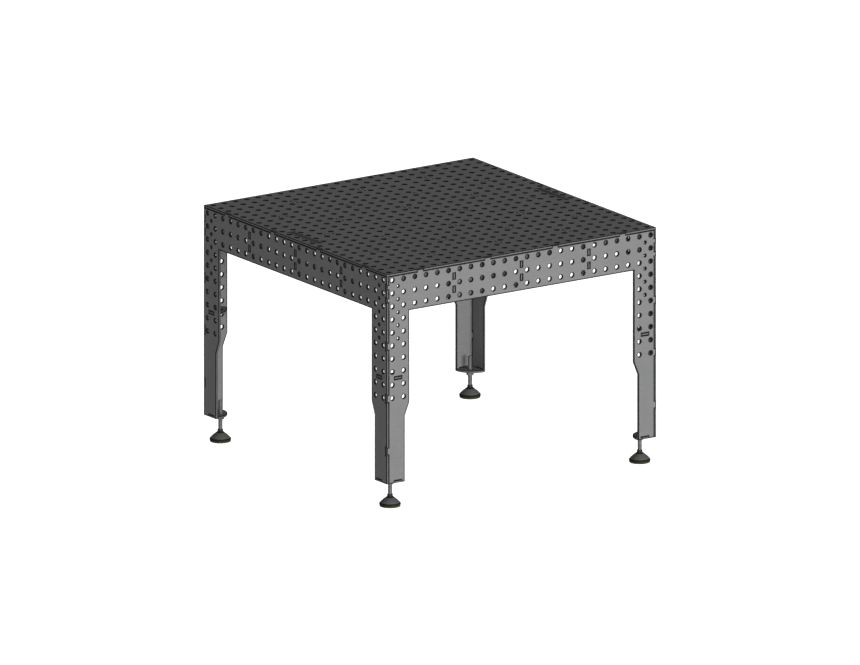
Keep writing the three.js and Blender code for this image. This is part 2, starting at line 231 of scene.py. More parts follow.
# Studio
CAMERA_AZIMUTH = math.radians(-34.2)
CAMERA_ELEVATION = math.radians(15.05)
CAMERA_WIDTH = 3.168               # metres across the picture
CAMERA_AIM = (0, 0, 0.453)
CAMERA_DISTANCE = 8.0
CAMERA_REACH = 60.0
FLOOR_HALF = 16.0
FLOOR_HEIGHT = -0.05               # low enough to leave room for the feet when they are screwed out
FLOOR_GLOW = 0.7
KEY_AZIMUTH = math.radians(2)
KEY_ELEVATION = math.radians(8)
KEY_STRENGTH = 5.2
FILL_AZIMUTH = math.radians(-27)
FILL_ELEVATION = math.radians(16)
FILL_STRENGTH = 2.6
SUN_SOFTNESS = math.radians(25)
WORLD_AZIMUTH = math.radians(45)   # the room is brightest in this direction
WORLD_ELEVATION = math.radians(10)
WORLD_DARKEST = 0.12
WORLD_BRIGHTEST = 0.34
WORLD_RANGE = (-0.6, 0.9)          # cosines from that direction at which it is darkest and brightest

CORNERS = ("front_left", "front_right", "back_right", "back_left")
QUARTER_TURN = math.pi / 2


# ---------------------------------------------------------------- outlines
# A loop is an array of points with the material on its left: outlines run anticlockwise and holes clockwise.

def stepped_edge(start, end, steps):
    """The points of one straight edge with steps, its end left out.

    A step lists pairs of distance along the edge and reach outwards from it.
    """
    start = np.array(start, float)
    along = np.array(end, float) - start
    along /= np.linalg.norm(along)
    outward = np.array([along[1], -along[0]])
    places = [start]
    for step in steps:
        places += [start + along * distance + outward * reach for distance, reach in step]
    return places


def tab(distance, length, reach=PLATE):
    """A step outwards, with its middle at a distance along its edge."""
    first, last = distance - length / 2, distance + length / 2
    return [(first, 0), (first, reach), (last, reach), (last, 0)]


def notch(distance, length, depth=PLATE + FIT):
    """A step inwards, with room for a tab of this length."""
    return tab(distance, length + 2 * FIT, -depth)


def arch(distance, length, depth):
    """A deep notch whose inner corners are round."""
    first = distance - length / 2 + OPENING_RADIUS
    last = distance + length / 2 - OPENING_RADIUS
    turns = [QUARTER_TURN * step / OPENING_STEPS for step in range(OPENING_STEPS + 1)]
    middle = depth - OPENING_RADIUS
    near = [(first - OPENING_RADIUS * math.cos(t), -middle - OPENING_RADIUS * math.sin(t)) for t in turns]
    far = [(last + OPENING_RADIUS * math.sin(t), -middle - OPENING_RADIUS * math.cos(t)) for t in turns]
    return [(near[0][0], 0), *near, *far, (far[-1][0], 0)]


def circle(x, y, radius, steps=CIRCLE_STEPS):
    """A round hole."""
    angles = -2 * math.pi * np.arange(steps) / steps
    return np.stack([x + radius * np.cos(angles), y + radius * np.sin(angles)], axis=1)


def rectangle(x, y, width, height):
    corners = [(-1, -1), (-1, 1), (1, 1), (1, -1)]
    return np.array([(x + a * width / 2, y + b * height / 2) for a, b in corners])


def slot(x, y, width, height):
    """A rectangular hole with room for a tab of this size."""
    return rectangle(x, y, width + 2 * FIT, height + 2 * FIT)


def window(middle, length, top, bottom):
    """A closed opening with round corners."""
    radius = OPENING_RADIUS
    left, right = middle - length / 2 + radius, middle + length / 2 - radius
    low, high = bottom + radius, top - radius
    places = []
    for corner, (x, y) in enumerate([(right, high), (right, low), (left, low), (left, high)]):
        for step in range(OPENING_STEPS + 1):
            angle = QUARTER_TURN * (1 - corner - step / OPENING_STEPS)
            places.append((x + radius * math.cos(angle), y + radius * math.sin(angle)))
    return np.array(places)


def inset(loop, distance):
    """Moves a loop into the material on its left."""
    before = loop - np.roll(loop, 1, axis=0)
    before /= np.linalg.norm(before, axis=1)[:, None]
    left = np.stack([-before[:, 1], before[:, 0]], axis=1)
    left_after = np.roll(left, -1, axis=0)
    mitre = (left + left_after) / (1 + (left * left_after).sum(axis=1))[:, None]
    return loop + mitre * distance


# ---------------------------------------------------------------- meshes

class Shell:
    """Collects the rows of points and the faces of one closed mesh."""

    def __init__(self):
        self.points = []
        self.tints = []
        self.faces = []
        self.materials = []

    def row(self, loop, height, tint):
        """Adds a loop at one height, and returns its indices."""
        first = len(self.points)
        self.points += [(x, y, height) for x, y in loop]
        self.tints += [tint] * len(loop)
        return np.arange(first, first + len(loop))

    def band(self, inner, outer, material):
        """Joins two rows of equal length by quads. The outer row is the further one from the upper face."""
        self.faces += zip(outer, np.roll(outer, -1), np.roll(inner, -1), inner)
        self.materials += [material] * len(inner)

    def cap(self, rows, facing_up):
        """Fills the first row's loop, less the loops of the other rows, with triangles."""
        order = np.concatenate(rows)
        flat = [Vector(self.points[i][:2]) for i in order]
        loops, first = [], 0
        for row in rows:
            loop = list(range(first, first + len(row)))
            loops.append(loop if first == 0 else loop[::-1])
            first += len(row)
        result = delaunay_2d_cdt(flat, [], loops, INNER_TRIANGLES, MERGE_DISTANCE)
        _, _, triangles, source, _, inside = result
        for triangle, faces in zip(triangles, inside):
            if list(faces) != [0]:
                continue
            face = [int(order[source[v][0]]) for v in triangle]
            self.faces.append(face if facing_up else face[::-1])
            self.materials.append(FACE)

    def mesh(self, name, matrix, materials):
        mesh = bpy.data.meshes.new(name)
        mesh.from_pydata(self.points, [], [list(map(int, face)) for face in self.faces])
        mesh.polygons.foreach_set("material_index", self.materials)
        store(mesh, "tint", "FLOAT", "value", self.tints)
        return finished(mesh, matrix, materials)


def store(mesh, name, kind, field, values):
    attribute = mesh.attributes.new(name, kind, "POINT")
    attribute.data.foreach_set(field, np.array(values, np.float32).ravel())


def finished(mesh, matrix, materials):
    """Keeps each point's own place as an attribute for the materials, then moves the mesh to the table."""
    places = np.zeros(len(mesh.vertices) * 3, np.float32)
    mesh.vertices.foreach_get("co", places)
    store(mesh, "place", "FLOAT_VECTOR", "vector", places)
    for material in materials:
        mesh.materials.append(material)
    mesh.transform(matrix)
    mesh.polygons.foreach_set("use_smooth", [True] * len(mesh.polygons))
    mesh.set_sharp_from_angle(angle=SHARP_ANGLE)
    mesh.validate()
    return mesh


def place_piece(mesh, node, body):
    """Shows a mesh in the place of its CAD node."""
    piece = bpy.data.objects.new(node + "_fine", mesh)
    bpy.context.scene.collection.objects.link(piece)
    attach(piece, body)
    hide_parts(node)
    return piece


def cut_plate(outline, slots=(), bores=(), engravings=(), bore_tint=BORE_TINT):
    """A plate with chamfered edges. Its outer side is at z = PLATE, where the engravings are sunk."""
    shell = Shell()
    cuts = [(loop, EDGE, EDGE_TINT) for loop in (outline, *slots)]
    cuts += [(loop, BORE, bore_tint) for loop in bores]
    upper, lower = [], []
    for loop, wall, tint_width in cuts:
        rows = cut_rows(shell, np.array(loop), tint_width)
        materials = [wall] * (len(rows) - 1)
        materials[0] = materials[-1] = FACE
        for inner, outer, material in zip(rows, rows[1:], materials):
            shell.band(inner, outer, material)
        upper.append(rows[0])
        lower.append(rows[-1])
    for loop in engravings:
        tinted = shell.row(inset(loop, TICK_TINT), PLATE, 0)
        rim = shell.row(loop, PLATE, 1)
        floor = shell.row(loop, PLATE - TICK_DEPTH, 1)
        shell.band(tinted, rim, FACE)
        shell.band(rim, floor, BORE)
        shell.faces.append(floor[::-1])
        shell.materials.append(BORE)
        upper.append(tinted)
    shell.cap(upper, True)
    shell.cap(lower, False)
    return shell


def cut_rows(shell, loop, tint_width):
    """The rows of points over one cut, from the upper face round to the lower one.

    The bores of the top leave out the two middle rows, so they are dark all the way through: painted shade in
    the holes.
    """
    chamfered, tinted = inset(loop, CHAMFER), inset(loop, tint_width)
    rows = [
        shell.row(tinted, PLATE, 0),
        shell.row(chamfered, PLATE, 1),
        shell.row(loop, PLATE - CHAMFER, 1),
    ]
    if tint_width != TOP_BORE_TINT:
        rows.append(shell.row(loop, PLATE - CHAMFER - WALL_TINT, 0))
        rows.append(shell.row(loop, CHAMFER + WALL_TINT, 0))
    return rows + [
        shell.row(loop, CHAMFER, 1),
        shell.row(chamfered, 0, 1),
        shell.row(tinted, 0, 0),
    ]


def rotation(angle, axis):
    return Matrix.Rotation(angle, 4, axis)


def upright(turn, distance):
    """From a flat plate to one that stands, facing out, with its outer side at a distance from the middle."""
    move = Matrix.Translation((0, PLATE - distance, 0))
    return rotation(turn, "Z") @ move @ rotation(QUARTER_TURN, "X")


def depth_to_height(depth):
    return TOP_Z - depth


def grid_places():
    """The places of one row of clamp holes, measured from the middle of a side."""
    return np.arange(GRID_MARGIN - HALF, HALF, GRID)


# ---------------------------------------------------------------- plates

def top_plate():
    notches = [notch(HALF + place, TAB) for place in TOP_TAB_PLACES]
    corners = [(-HALF, -HALF), (HALF, -HALF), (HALF, HALF), (-HALF, HALF)]
    outline = []
    for start, end in zip(corners, corners[1:] + corners[:1]):
        outline += stepped_edge(start, end, notches)
    bores = [circle(x, y, CLAMP_RADIUS) for x in grid_places() for y in grid_places()]
    slots = []
    for rib in RIB_PLACES:
        for place in TOP_TAB_PLACES:
            slots.append(slot(place, rib, TAB, PLATE))
            slots.append(slot(rib, place, PLATE, TAB))
    return cut_plate(outline, slots, bores, scale_ticks(), TOP_BORE_TINT)


def scale_ticks():
    """The engraved marks of both scales on the top. Every fifth mark is long."""
    ticks = []
    for side in (-1, 1):
        for tick in range(SCALE_TICKS):
            length = TICK_LENGTHS[tick % len(TICK_LENGTHS)]
            x = side * (HALF - SCALE_INSET)
            ticks.append(rectangle(x, SCALE_START + tick * SCALE_PITCH, length, TICK_WIDTH))
    return ticks


def leg_inner_edge(side):
    """Half a leg's free edges, from its lower end up to the apron."""
    return [
        (side * (HALF - LEG_FOOT_WIDTH), LEG_END),
        (side * (HALF - LEG_FOOT_WIDTH), depth_to_height(TAPER_END_DEPTH)),
        (side * (HALF - LEG_WIDTH), depth_to_height(TAPER_START_DEPTH)),
        (side * (HALF - LEG_WIDTH), depth_to_height(APRON_DEPTH)),
    ]


def side_panel(is_inset):
    """An apron with half a leg at each end. An inset panel has tabs at its ends, an outer one notches."""
    reach = HALF - PLATE if is_inset else HALF
    top = TOP_Z - PLATE
    step = tab if is_inset else notch
    down = [step(top - depth_to_height(depth), length) for depth, length in CORNER_TABS]
    up = [step(depth_to_height(depth) - LEG_END, length) for depth, length in reversed(CORNER_TABS)]
    top_tabs = [tab(reach + place, TAB) for place in TOP_TAB_PLACES]
    left_leg, right_leg = leg_inner_edge(-1), leg_inner_edge(1)[::-1]
    outline = [
        *stepped_edge((-reach, LEG_END), left_leg[0], [notch(CORNER_TAB_INSET - HALF + reach, TAB)]),
        *left_leg,
        *right_leg[:-1],
        *stepped_edge(right_leg[-1], (reach, LEG_END), [notch(LEG_FOOT_WIDTH - CORNER_TAB_INSET, TAB)]),
        *stepped_edge((reach, LEG_END), (reach, top), up),
        *stepped_edge((reach, top), (-reach, top), top_tabs),
        *stepped_edge((-reach, top), (-reach, LEG_END), down),
    ]
    return cut_plate(outline, panel_slots(), panel_holes())


def panel_holes():
    holes = []
    columns = grid_places()
    for column, x in enumerate(columns):
        on_leg = min(column, len(columns) - 1 - column) < LEG_HOLE_COLUMNS
        for row in range(LEG_HOLE_ROWS if on_leg else APRON_HOLE_ROWS):
            holes.append(circle(x, depth_to_height(GRID_MARGIN + row * GRID), CLAMP_RADIUS))
    for x in (SMALL_HOLE_INSET - HALF, HALF - SMALL_HOLE_INSET):
        for row in range(1, SMALL_HOLE_ROWS + 1):
            holes.append(circle(x, depth_to_height(row * GRID), SMALL_RADIUS))
    return holes


def panel_slots():
    slots = []
    for x in RIB_PLACES:
        for depth in RIB_TAB_DEPTHS:
            slots.append(slot(x, depth_to_height(depth), PLATE, SHORT_TAB))
    for x in (CORNER_TAB_INSET - HALF, HALF - CORNER_TAB_INSET):
        slots.append(slot(x, depth_to_height(GUSSET_DEPTH), TAB, PLATE))
    return slots


def rib(place, laps_open_down):
    """A rib with an opening in each outer bay: a window in a middle rib, an arch open below in the others."""
    end = HALF - PLATE
    top, bottom = TOP_Z - PLATE, depth_to_height(RIB_BOTTOM_DEPTH)
    lap_depth = (RIB_BOTTOM_DEPTH - RIB_LAP_DEPTH if laps_open_down else RIB_LAP_DEPTH - PLATE) + FIT / 2
    laps = [notch(end + other, PLATE, lap_depth) for other in RIB_PLACES]
    top_steps = [tab(end + other, TAB) for other in TOP_TAB_PLACES]
    bottom_steps = []
    windows = []
    if laps_open_down:
        bottom_steps += laps
    else:
        top_steps += laps
    for middle in (-BAY_MIDDLE, BAY_MIDDLE):
        if place == 0:
            sill = depth_to_height(WINDOW_BOTTOM_DEPTH)
            windows.append(window(middle, WINDOW_LENGTH, depth_to_height(OPENING_TOP_DEPTH), sill))
        else:
            bottom_steps.append(arch(end + middle, ARCH_LENGTH, RIB_BOTTOM_DEPTH - OPENING_TOP_DEPTH))
    end_down = [tab(top - depth_to_height(depth), SHORT_TAB) for depth in RIB_TAB_DEPTHS]
    end_up = [tab(depth_to_height(depth) - bottom, SHORT_TAB) for depth in reversed(RIB_TAB_DEPTHS)]
    outline = [
        *stepped_edge((-end, bottom), (end, bottom), sorted(bottom_steps)),
        *stepped_edge((end, bottom), (end, top), end_up),
        *stepped_edge((end, top), (-end, top), sorted(top_steps)),
        *stepped_edge((-end, top), (-end, bottom), end_down),
    ]
    return cut_plate(outline, windows)


def corner_plate(hole_radius, foot_inset):
    """A quarter disc with a tab in each panel. The inner corner of the leg is its origin."""
    near = CORNER_TAB_INSET - PLATE
    angles = QUARTER_TURN * np.arange(CORNER_PLATE_STEPS + 1) / CORNER_PLATE_STEPS
    arc = CORNER_PLATE_RADIUS * np.stack([np.cos(angles), np.sin(angles)], axis=1)
    outline = [
        *stepped_edge((0, 0), (CORNER_PLATE_RADIUS, 0), [tab(near, TAB)]),
        *arc[:-1],
        *stepped_edge((0, CORNER_PLATE_RADIUS), (0, 0), [tab(CORNER_PLATE_RADIUS - near, TAB)]),
    ]
    return cut_plate(outline, bores=[circle(foot_inset, foot_inset, hole_radius, 2 * CIRCLE_STEPS)])


# ---------------------------------------------------------------- turned parts

def rounded(corners):
    """A profile from (radius, height, fillet) triples, each corner with a fillet rounded off."""
    points = [np.array(corner[:2], float) for corner in corners]
    profile = []
    for i, (_, _, fillet) in enumerate(corners):
        here = points[i]
        if fillet == 0:
            profile.append(here)
            continue
        towards = []
        for other in (points[i - 1], points[(i + 1) % len(points)]):
            towards.append((other - here) / np.linalg.norm(other - here))
        half_angle = math.acos(np.dot(*towards)) / 2
        reach = fillet / math.tan(half_angle)
        for step in range(FILLET_STEPS + 1):
            share = step / FILLET_STEPS
            weights = (1 - share) ** 2, share ** 2
            profile.append(here + reach * (weights[0] * towards[0] + weights[1] * towards[1]))
    return profile


def ball_arc(radius, from_height, to_height, steps=ARC_STEPS):
    """Corners of a profile on a circle about the ball's centre, which both heights are measured from."""
    start, end = math.asin(from_height / radius), math.asin(to_height / radius)
    angles = [start + (end - start) * step / steps for step in range(steps + 1)]
    return [(radius * math.cos(angle), BALL_HEIGHT + radius * math.sin(angle), 0) for angle in angles]


def lathe(bm, profile, closed, steps=LATHE_STEPS):
    """Turns a profile about Z. Points on the axis become one vertex. Returns the rows of vertices."""
    rows = []
    for radius, height in profile:
        if radius < ON_AXIS:
            rows.append([bm.verts.new((0, 0, height))] * steps)
            continue
        angles = [2 * math.pi * step / steps for step in range(steps)]
        rows.append([bm.verts.new((radius * math.cos(a), radius * math.sin(a), height)) for a in angles])
    pairs = list(zip(rows, rows[1:]))
    if closed:
        pairs.append((rows[-1], rows[0]))
    for low, high in pairs:
        for i in range(steps):
            j = (i + 1) % steps
            corners = []
            for vertex in (low[i], low[j], high[j], high[i]):
                if vertex not in corners:
                    corners.append(vertex)
            bm.faces.new(corners)
    return rows


def turned_mesh(name, corners, closed):
    bm = bmesh.new()
    lathe(bm, rounded(corners), closed)
    mesh = bpy.data.meshes.new(name)
    bm.to_mesh(mesh)
    bm.free()
    return mesh


def bell_flank():
    """The flank of the base, from its rim up to its neck: a cone that bulges a little."""
    rim, neck = np.array([BASE_RADIUS, BASE_RIM_TOP]), np.array([NECK_RADIUS, BASE_TOP])
    slope = (neck - rim) / np.linalg.norm(neck - rim)
    outward = np.array([slope[1], -slope[0]])
    shares = np.arange(1, ARC_STEPS) / ARC_STEPS
    places = [rim + (neck - rim) * t + outward * BELL_BULGE * math.sin(math.pi * t) for t in shares]
    return [(x, z, 0) for x, z in places]


def foot_base():
    socket_bottom = SOCKET_FLOOR + SOCKET_POINT - BALL_HEIGHT
    return [
        (0, PAD_HEIGHT, 0),
        (BASE_RADIUS, PAD_HEIGHT, BASE_EDGE_FILLET),
        (BASE_RADIUS, BASE_RIM_TOP, BASE_RIM_FILLET),
        *bell_flank(),
        (NECK_RADIUS, BASE_TOP, NECK_FILLET),
        (SOCKET_RADIUS, BASE_TOP, 0),
        *ball_arc(SOCKET_RADIUS, 0, socket_bottom),
        (0, SOCKET_FLOOR, 0),
    ]


def foot_collar():
    bore_height = math.sqrt(SOCKET_RADIUS ** 2 - COLLAR_BORE ** 2)
    seat_bottom = BASE_TOP - BALL_HEIGHT
    return [
        *ball_arc(SOCKET_RADIUS, bore_height, seat_bottom),
        (NECK_RADIUS, BASE_TOP, NECK_FILLET),
        (COLLAR_RADIUS, COLLAR_SHOULDER, COLLAR_SHOULDER_FILLET),
        (COLLAR_RADIUS, COLLAR_TOP, COLLAR_TOP_FILLET),
        (COLLAR_MOUTH, COLLAR_TOP, 0),
    ]


def foot_pad():
    return [
        (0, 0, 0),
        (PAD_RADIUS, 0, PAD_FILLET),
        (PAD_RADIUS, PAD_HEIGHT, 0),
        (0, PAD_HEIGHT, 0),
    ]


def ball_cup():
    outer_bottom = -LINER_OUTER * math.cos(CUP_OPENING_ANGLE)
    inner_bottom = -LINER_INNER * math.cos(CUP_OPENING_ANGLE)
    return [
        *ball_arc(LINER_OUTER, outer_bottom, -LINER_GAP),
        *ball_arc(LINER_INNER, -LINER_GAP, inner_bottom),
    ]


def ball_ring():
    top = RING_TOP - BALL_HEIGHT
    return [
        *ball_arc(LINER_OUTER, LINER_GAP, top),
        *ball_arc(LINER_INNER, top, LINER_GAP),
    ]


def stud_mesh(name):
    """A threaded stud with a shank and a ball at its lower end."""
    bm = bmesh.new()
    thread(bm)
    neck = math.sqrt(BALL_RADIUS ** 2 - SHANK_RADIUS ** 2)
    arc = ball_arc(BALL_RADIUS, -BALL_RADIUS, neck, 2 * ARC_STEPS)
    shank = [*[point[:2] for point in arc], (SHANK_RADIUS, STUD_SHOULDER)]
    rows = lathe(bm, shank, False, THREAD_STEPS)
    shank_edges = [edge for edge in bm.edges if edge.is_boundary and all(v in rows[-1] for v in edge.verts)]
    others = [edge for edge in bm.edges if edge.is_boundary and edge not in shank_edges]
    middle = (STUD_TOP + STUD_SHOULDER) / 2
    bottom_edges = [edge for edge in others if edge.verts[0].co.z < middle]
    top_edges = [edge for edge in others if edge.verts[0].co.z > middle]
    bmesh.ops.bridge_loops(bm, edges=shank_edges + bottom_edges)
    bmesh.ops.holes_fill(bm, edges=top_edges, sides=0)
    bmesh.ops.recalc_face_normals(bm, faces=bm.faces)
    mesh = bpy.data.meshes.new(name)
    bm.to_mesh(mesh)
    bm.free()
    return mesh


def thread(bm):
    """A helical surface between the stud's shoulder and its top, with chamfered ends and no caps."""
    turns = math.ceil((STUD_TOP - STUD_SHOULDER) / THREAD_PITCH) + 2 * THREAD_SPARE_TURNS
    start = STUD_SHOULDER - THREAD_SPARE_TURNS * THREAD_PITCH
    columns = []
    for n in range(turns * THREAD_STEPS + 1):
        angle = 2 * math.pi * n / THREAD_STEPS
        column = []
        for share, at_crest in THREAD_PROFILE:
            height = start + THREAD_PITCH * (n / THREAD_STEPS + share)
            from_end = min(STUD_TOP - height, height - STUD_SHOULDER)
            radius = THREAD_RADIUS if at_crest else THREAD_CORE
            radius = min(radius, THREAD_RADIUS - STUD_CHAMFER + max(from_end, 0))
            column.append(bm.verts.new((radius * math.cos(angle), radius * math.sin(angle), height)))
        columns.append(column)
    for n in range(len(columns) - THREAD_STEPS - 1):
        here = columns[n] + columns[n + THREAD_STEPS][:1]
        beyond = columns[n + 1] + columns[n + 1 + THREAD_STEPS][:1]
        for k in range(len(THREAD_PROFILE)):
            bm.faces.new((here[k], beyond[k], beyond[k + 1], here[k + 1]))
    for height, above in ((STUD_SHOULDER, False), (STUD_TOP, True)):
        geometry = bm.verts[:] + bm.edges[:] + bm.faces[:]
        bmesh.ops.bisect_plane(
            bm, geom=geometry, dist=MERGE_DISTANCE, plane_co=(0, 0, height), plane_no=(0, 0, 1),
            clear_outer=above, clear_inner=not above,
        )
    loose = [vertex for vertex in bm.verts if not vertex.link_faces]
    bmesh.ops.delete(bm, geom=loose, context="VERTS")


def nut_mesh(name):
    """A hexagon nut with conical chamfers on its corners."""
    flat = NUT_ACROSS_FLATS / 2
    top = LEG_END - FIT
    bottom = top - NUT_HEIGHT
    bore = THREAD_RADIUS + THREAD_CLEARANCE
    mouth = bore + NUT_MOUTH
    sector = 2 * math.pi / NUT_SIDES
    steps = NUT_SIDES * NUT_STEPS_PER_FLAT
    bm = bmesh.new()
    columns = []
    for step in range(steps):
        angle = 2 * math.pi * step / steps
        from_flat = (angle + sector / 2) % sector - sector / 2
        corner = flat / math.cos(from_flat)
        drop = (corner - NUT_SHOULDER) * math.tan(NUT_CHAMFER_ANGLE)
        places = [
            (mouth, bottom), (NUT_SHOULDER, bottom), (corner, bottom + drop), (corner, top - drop),
            (NUT_SHOULDER, top), (mouth, top), (bore, top - NUT_MOUTH), (bore, bottom + NUT_MOUTH),
        ]
        column = [(radius * math.cos(angle), radius * math.sin(angle), height) for radius, height in places]
        columns.append([bm.verts.new(place) for place in column])
    rows = list(zip(*columns))
    for low, high in zip(rows, rows[1:] + rows[:1]):
        for i in range(steps):
            j = (i + 1) % steps
            bm.faces.new((low[i], low[j], high[j], high[i]))
    mesh = bpy.data.meshes.new(name)
    bm.to_mesh(mesh)
    bm.free()
    return mesh


# ---------------------------------------------------------------- materials

RANGE_SOCKETS = ("From Min", "From Max", "To Min", "To Max")
# A mix node keeps its sockets for colours behind those for numbers and vectors of the same names
MIX_FIRST_COLOUR, MIX_SECOND_COLOUR, MIX_COLOUR_RESULT = 6, 7, 2


class Nodes:
    """Builds a material's node tree. A socket is set by a number, a colour or another node's output."""

    def __init__(self, name):
        self.material = bpy.data.materials.new(name)
        self.material.use_nodes = True
        self.tree = self.material.node_tree
        self.shader = self.tree.nodes["Principled BSDF"]
        self.place = self.attribute("place").outputs["Vector"]

    def attribute(self, name):
        node = self.tree.nodes.new("ShaderNodeAttribute")
        node.attribute_name = name
        return node

    def connect(self, node, inputs):
        for key, value in inputs.items():
            if isinstance(value, bpy.types.NodeSocket):
                self.tree.links.new(value, node.inputs[key])
            else:
                node.inputs[key].default_value = value

    def math(self, operation, first, second=0.0):
        node = self.tree.nodes.new("ShaderNodeMath")
        node.operation = operation
        self.connect(node, {0: first, 1: second})
        return node.outputs[0]

    def average(self, first, second, share):
        """Weighs two values. The share is the first one's."""
        weighed = self.math("MULTIPLY", first, share), self.math("MULTIPLY", second, 1 - share)
        return self.math("ADD", *weighed)

    def ramp(self, value, span, result=(0.0, 1.0)):
        """Runs smoothly from one result to the other while the value crosses the span."""
        node = self.tree.nodes.new("ShaderNodeMapRange")
        node.interpolation_type = "SMOOTHSTEP"
        self.connect(node, {"Value": value, **dict(zip(RANGE_SOCKETS, (*span, *result)))})
        return node.outputs["Result"]

    def stretched(self, scale, turn=0.0):
        """The piece's own place, turned in its plane and scaled, for patterns that run in one direction."""
        node = self.tree.nodes.new("ShaderNodeMapping")
        node.vector_type = "POINT"
        turned = self.tree.nodes.new("ShaderNodeVectorRotate")
        turned.rotation_type = "Z_AXIS"
        self.connect(turned, {"Vector": self.place, "Angle": turn})
        self.connect(node, {"Vector": turned.outputs[0], "Scale": scale})
        return node.outputs[0]

    def polar(self, radial, axial):
        """Radius and height of the place, scaled, for turning marks."""
        join = self.tree.nodes.new("ShaderNodeCombineXYZ")
        squares = [self.math("POWER", self.coordinate(axis), 2) for axis in ("X", "Y")]
        radius = self.math("SQRT", self.math("ADD", *squares))
        self.connect(join, {
            "X": self.math("MULTIPLY", radius, radial),
            "Z": self.math("MULTIPLY", self.coordinate("Z"), axial),
        })
        return join.outputs[0]

    def coordinate(self, axis):
        split = self.tree.nodes.new("ShaderNodeSeparateXYZ")
        self.connect(split, {0: self.place})
        return split.outputs[axis]

    def noise(self, vector, scale=1, detail=2.0, roughness=0.5):
        node = self.tree.nodes.new("ShaderNodeTexNoise")
        self.connect(node, {"Vector": vector, "Scale": scale, "Detail": detail, "Roughness": roughness})
        return node.outputs[0]

    def scratches(self, scale, turn, threshold):
        """Thin marks in one direction, where a stretched noise rises past a threshold."""
        grooves = self.noise(self.stretched(scale, turn))
        return self.ramp(grooves, (threshold, threshold + SCRATCH_EDGE))

    def blend(self, factor, first, second):
        node = self.tree.nodes.new("ShaderNodeMix")
        node.data_type = "RGBA"
        self.connect(node, {"Factor": factor, MIX_FIRST_COLOUR: first, MIX_SECOND_COLOUR: second})
        return node.outputs[MIX_COLOUR_RESULT]

    def bump(self, height, strength, distance):
        node = self.tree.nodes.new("ShaderNodeBump")
        self.connect(node, {"Height": height, "Strength": strength, "Distance": distance})
        return node.outputs[0]

    def cut_steel(self, colour, metallic, rough, relief):
        """Finishes a steel that turns to dull dark oxide beside a cut, in a band with a ragged outer edge.
        Where a hole's wall is tinted all through, this dark is painted shade in the hole.
        """
        wander = self.noise(self.place, OXIDE_WANDER_SCALE)
        shift = self.ramp(wander, NOISE_SPAN, (-OXIDE_WANDER, OXIDE_WANDER))
        oxide = self.ramp(self.math("ADD", self.attribute("tint").outputs["Fac"], shift), OXIDE_SPAN)
        return self.done(
            Base_Color=self.blend(oxide, colour, grey(DARK_STEEL, OXIDE_WARMTH)),
            Metallic=self.ramp(oxide, (0, 1), (metallic, 0)),
            Specular_IOR_Level=self.ramp(oxide, (0, 1), (STEEL_SHINE, DARK_STEEL_SHINE)),
            Roughness=self.math("MAXIMUM", rough, self.math("MULTIPLY", oxide, OXIDE_ROUGHNESS)),
            Normal=relief,
        )

    def done(self, **inputs):
        self.connect(self.shader, {key.replace("_", " "): value for key, value in inputs.items()})
        return self.material


def grey(level, warmth=0.0):
    """An opaque colour. Warmth shifts it from blue to red by a share of its level."""
    return (level * (1 + warmth), level, level * (1 - warmth), 1)


def rolled_steel(name, level):
    """A hot-rolled face with clouded scale, rolling streaks and fine scratches, darkened beside each cut."""
    n = Nodes(name)
    dark = grey(0.92 * level, warmth=-0.01)
    light = grey(1.08 * level, warmth=0.01)
    scratched = grey(1.7 * level)
    cloud = n.noise(n.place, scale=7, detail=5, roughness=0.62)
    grain = n.noise(n.place, scale=330, detail=3)
    streak = n.noise(n.stretched(scale=(5, 260, 5)), detail=3)
    scratch = n.scratches(scale=(9, 620, 9), turn=0.45, threshold=0.70)
    crossed = n.scratches(scale=(11, 700, 11), turn=-0.7, threshold=0.71)
    marks = n.math("MAXIMUM", scratch, crossed)
    tone = n.average(cloud, streak, share=0.55)
    colour = n.blend(n.ramp(tone, NOISE_SPAN), dark, light)
    colour = n.blend(n.math("MULTIPLY", marks, SCRATCH_COVER), colour, scratched)
    polish = n.math("MULTIPLY", marks, -SCRATCH_POLISH)
    rough = n.math("ADD", n.ramp(cloud, NOISE_SPAN, PLATE_ROUGHNESS), polish)
    surface = n.average(grain, streak, share=0.6)
    relief = n.math("SUBTRACT", surface, n.math("MULTIPLY", marks, SCRATCH_DEPTH))
    return n.cut_steel(colour, PLATE_METALLIC, rough, n.bump(relief, strength=0.35, distance=0.4 * MM))


def edge_steel(name, level, flush_end_level):
    """A ground outer edge, with the cut's striations still faintly there.

    Close under the working surface it takes the second brightness, which on a rib is much lighter than the
    rest of its edge.
    """
    n = Nodes(name)
    dark = grey(0.75 * level, warmth=0.02)
    light = grey(1.1 * level)
    stained = grey(0.7 * level, warmth=0.08)
    striation = n.noise(n.stretched(scale=(700, 700, 25)))
    cloud = n.noise(n.place, scale=60, detail=3)
    stain = n.ramp(cloud, span=(0.45, 0.75), result=(0, 0.5))
    colour = n.blend(stain, n.blend(striation, dark, light), stained)
    flush = n.ramp(n.coordinate("Y"), (TOP_Z - FLUSH_END_DEPTH, TOP_Z - FLUSH_END_DEPTH / 2))
    colour = n.blend(flush, colour, grey(flush_end_level))
    rough = n.ramp(striation, NOISE_SPAN, result=(0.4, 0.6))
    return n.cut_steel(colour, EDGE_METALLIC, rough, n.bump(striation, strength=0.5, distance=0.3 * MM))


def shaded_bore_steel(name, level):
    """A cut hole: striations through the plate, on walls painted dark as shade in the hole, and dark oxide at
    its mouths.
    """
    n = Nodes(name)
    dark = grey(0.6 * level, warmth=0.05)
    light = grey(1.4 * level, warmth=-0.05)
    striation = n.noise(n.stretched(scale=(900, 900, 40)))
    colour = n.blend(striation, dark, light)
    rough = n.ramp(striation, NOISE_SPAN, result=(0.5, 0.75))
    return n.cut_steel(colour, BORE_METALLIC, rough, n.bump(striation, strength=0.6, distance=0.3 * MM))


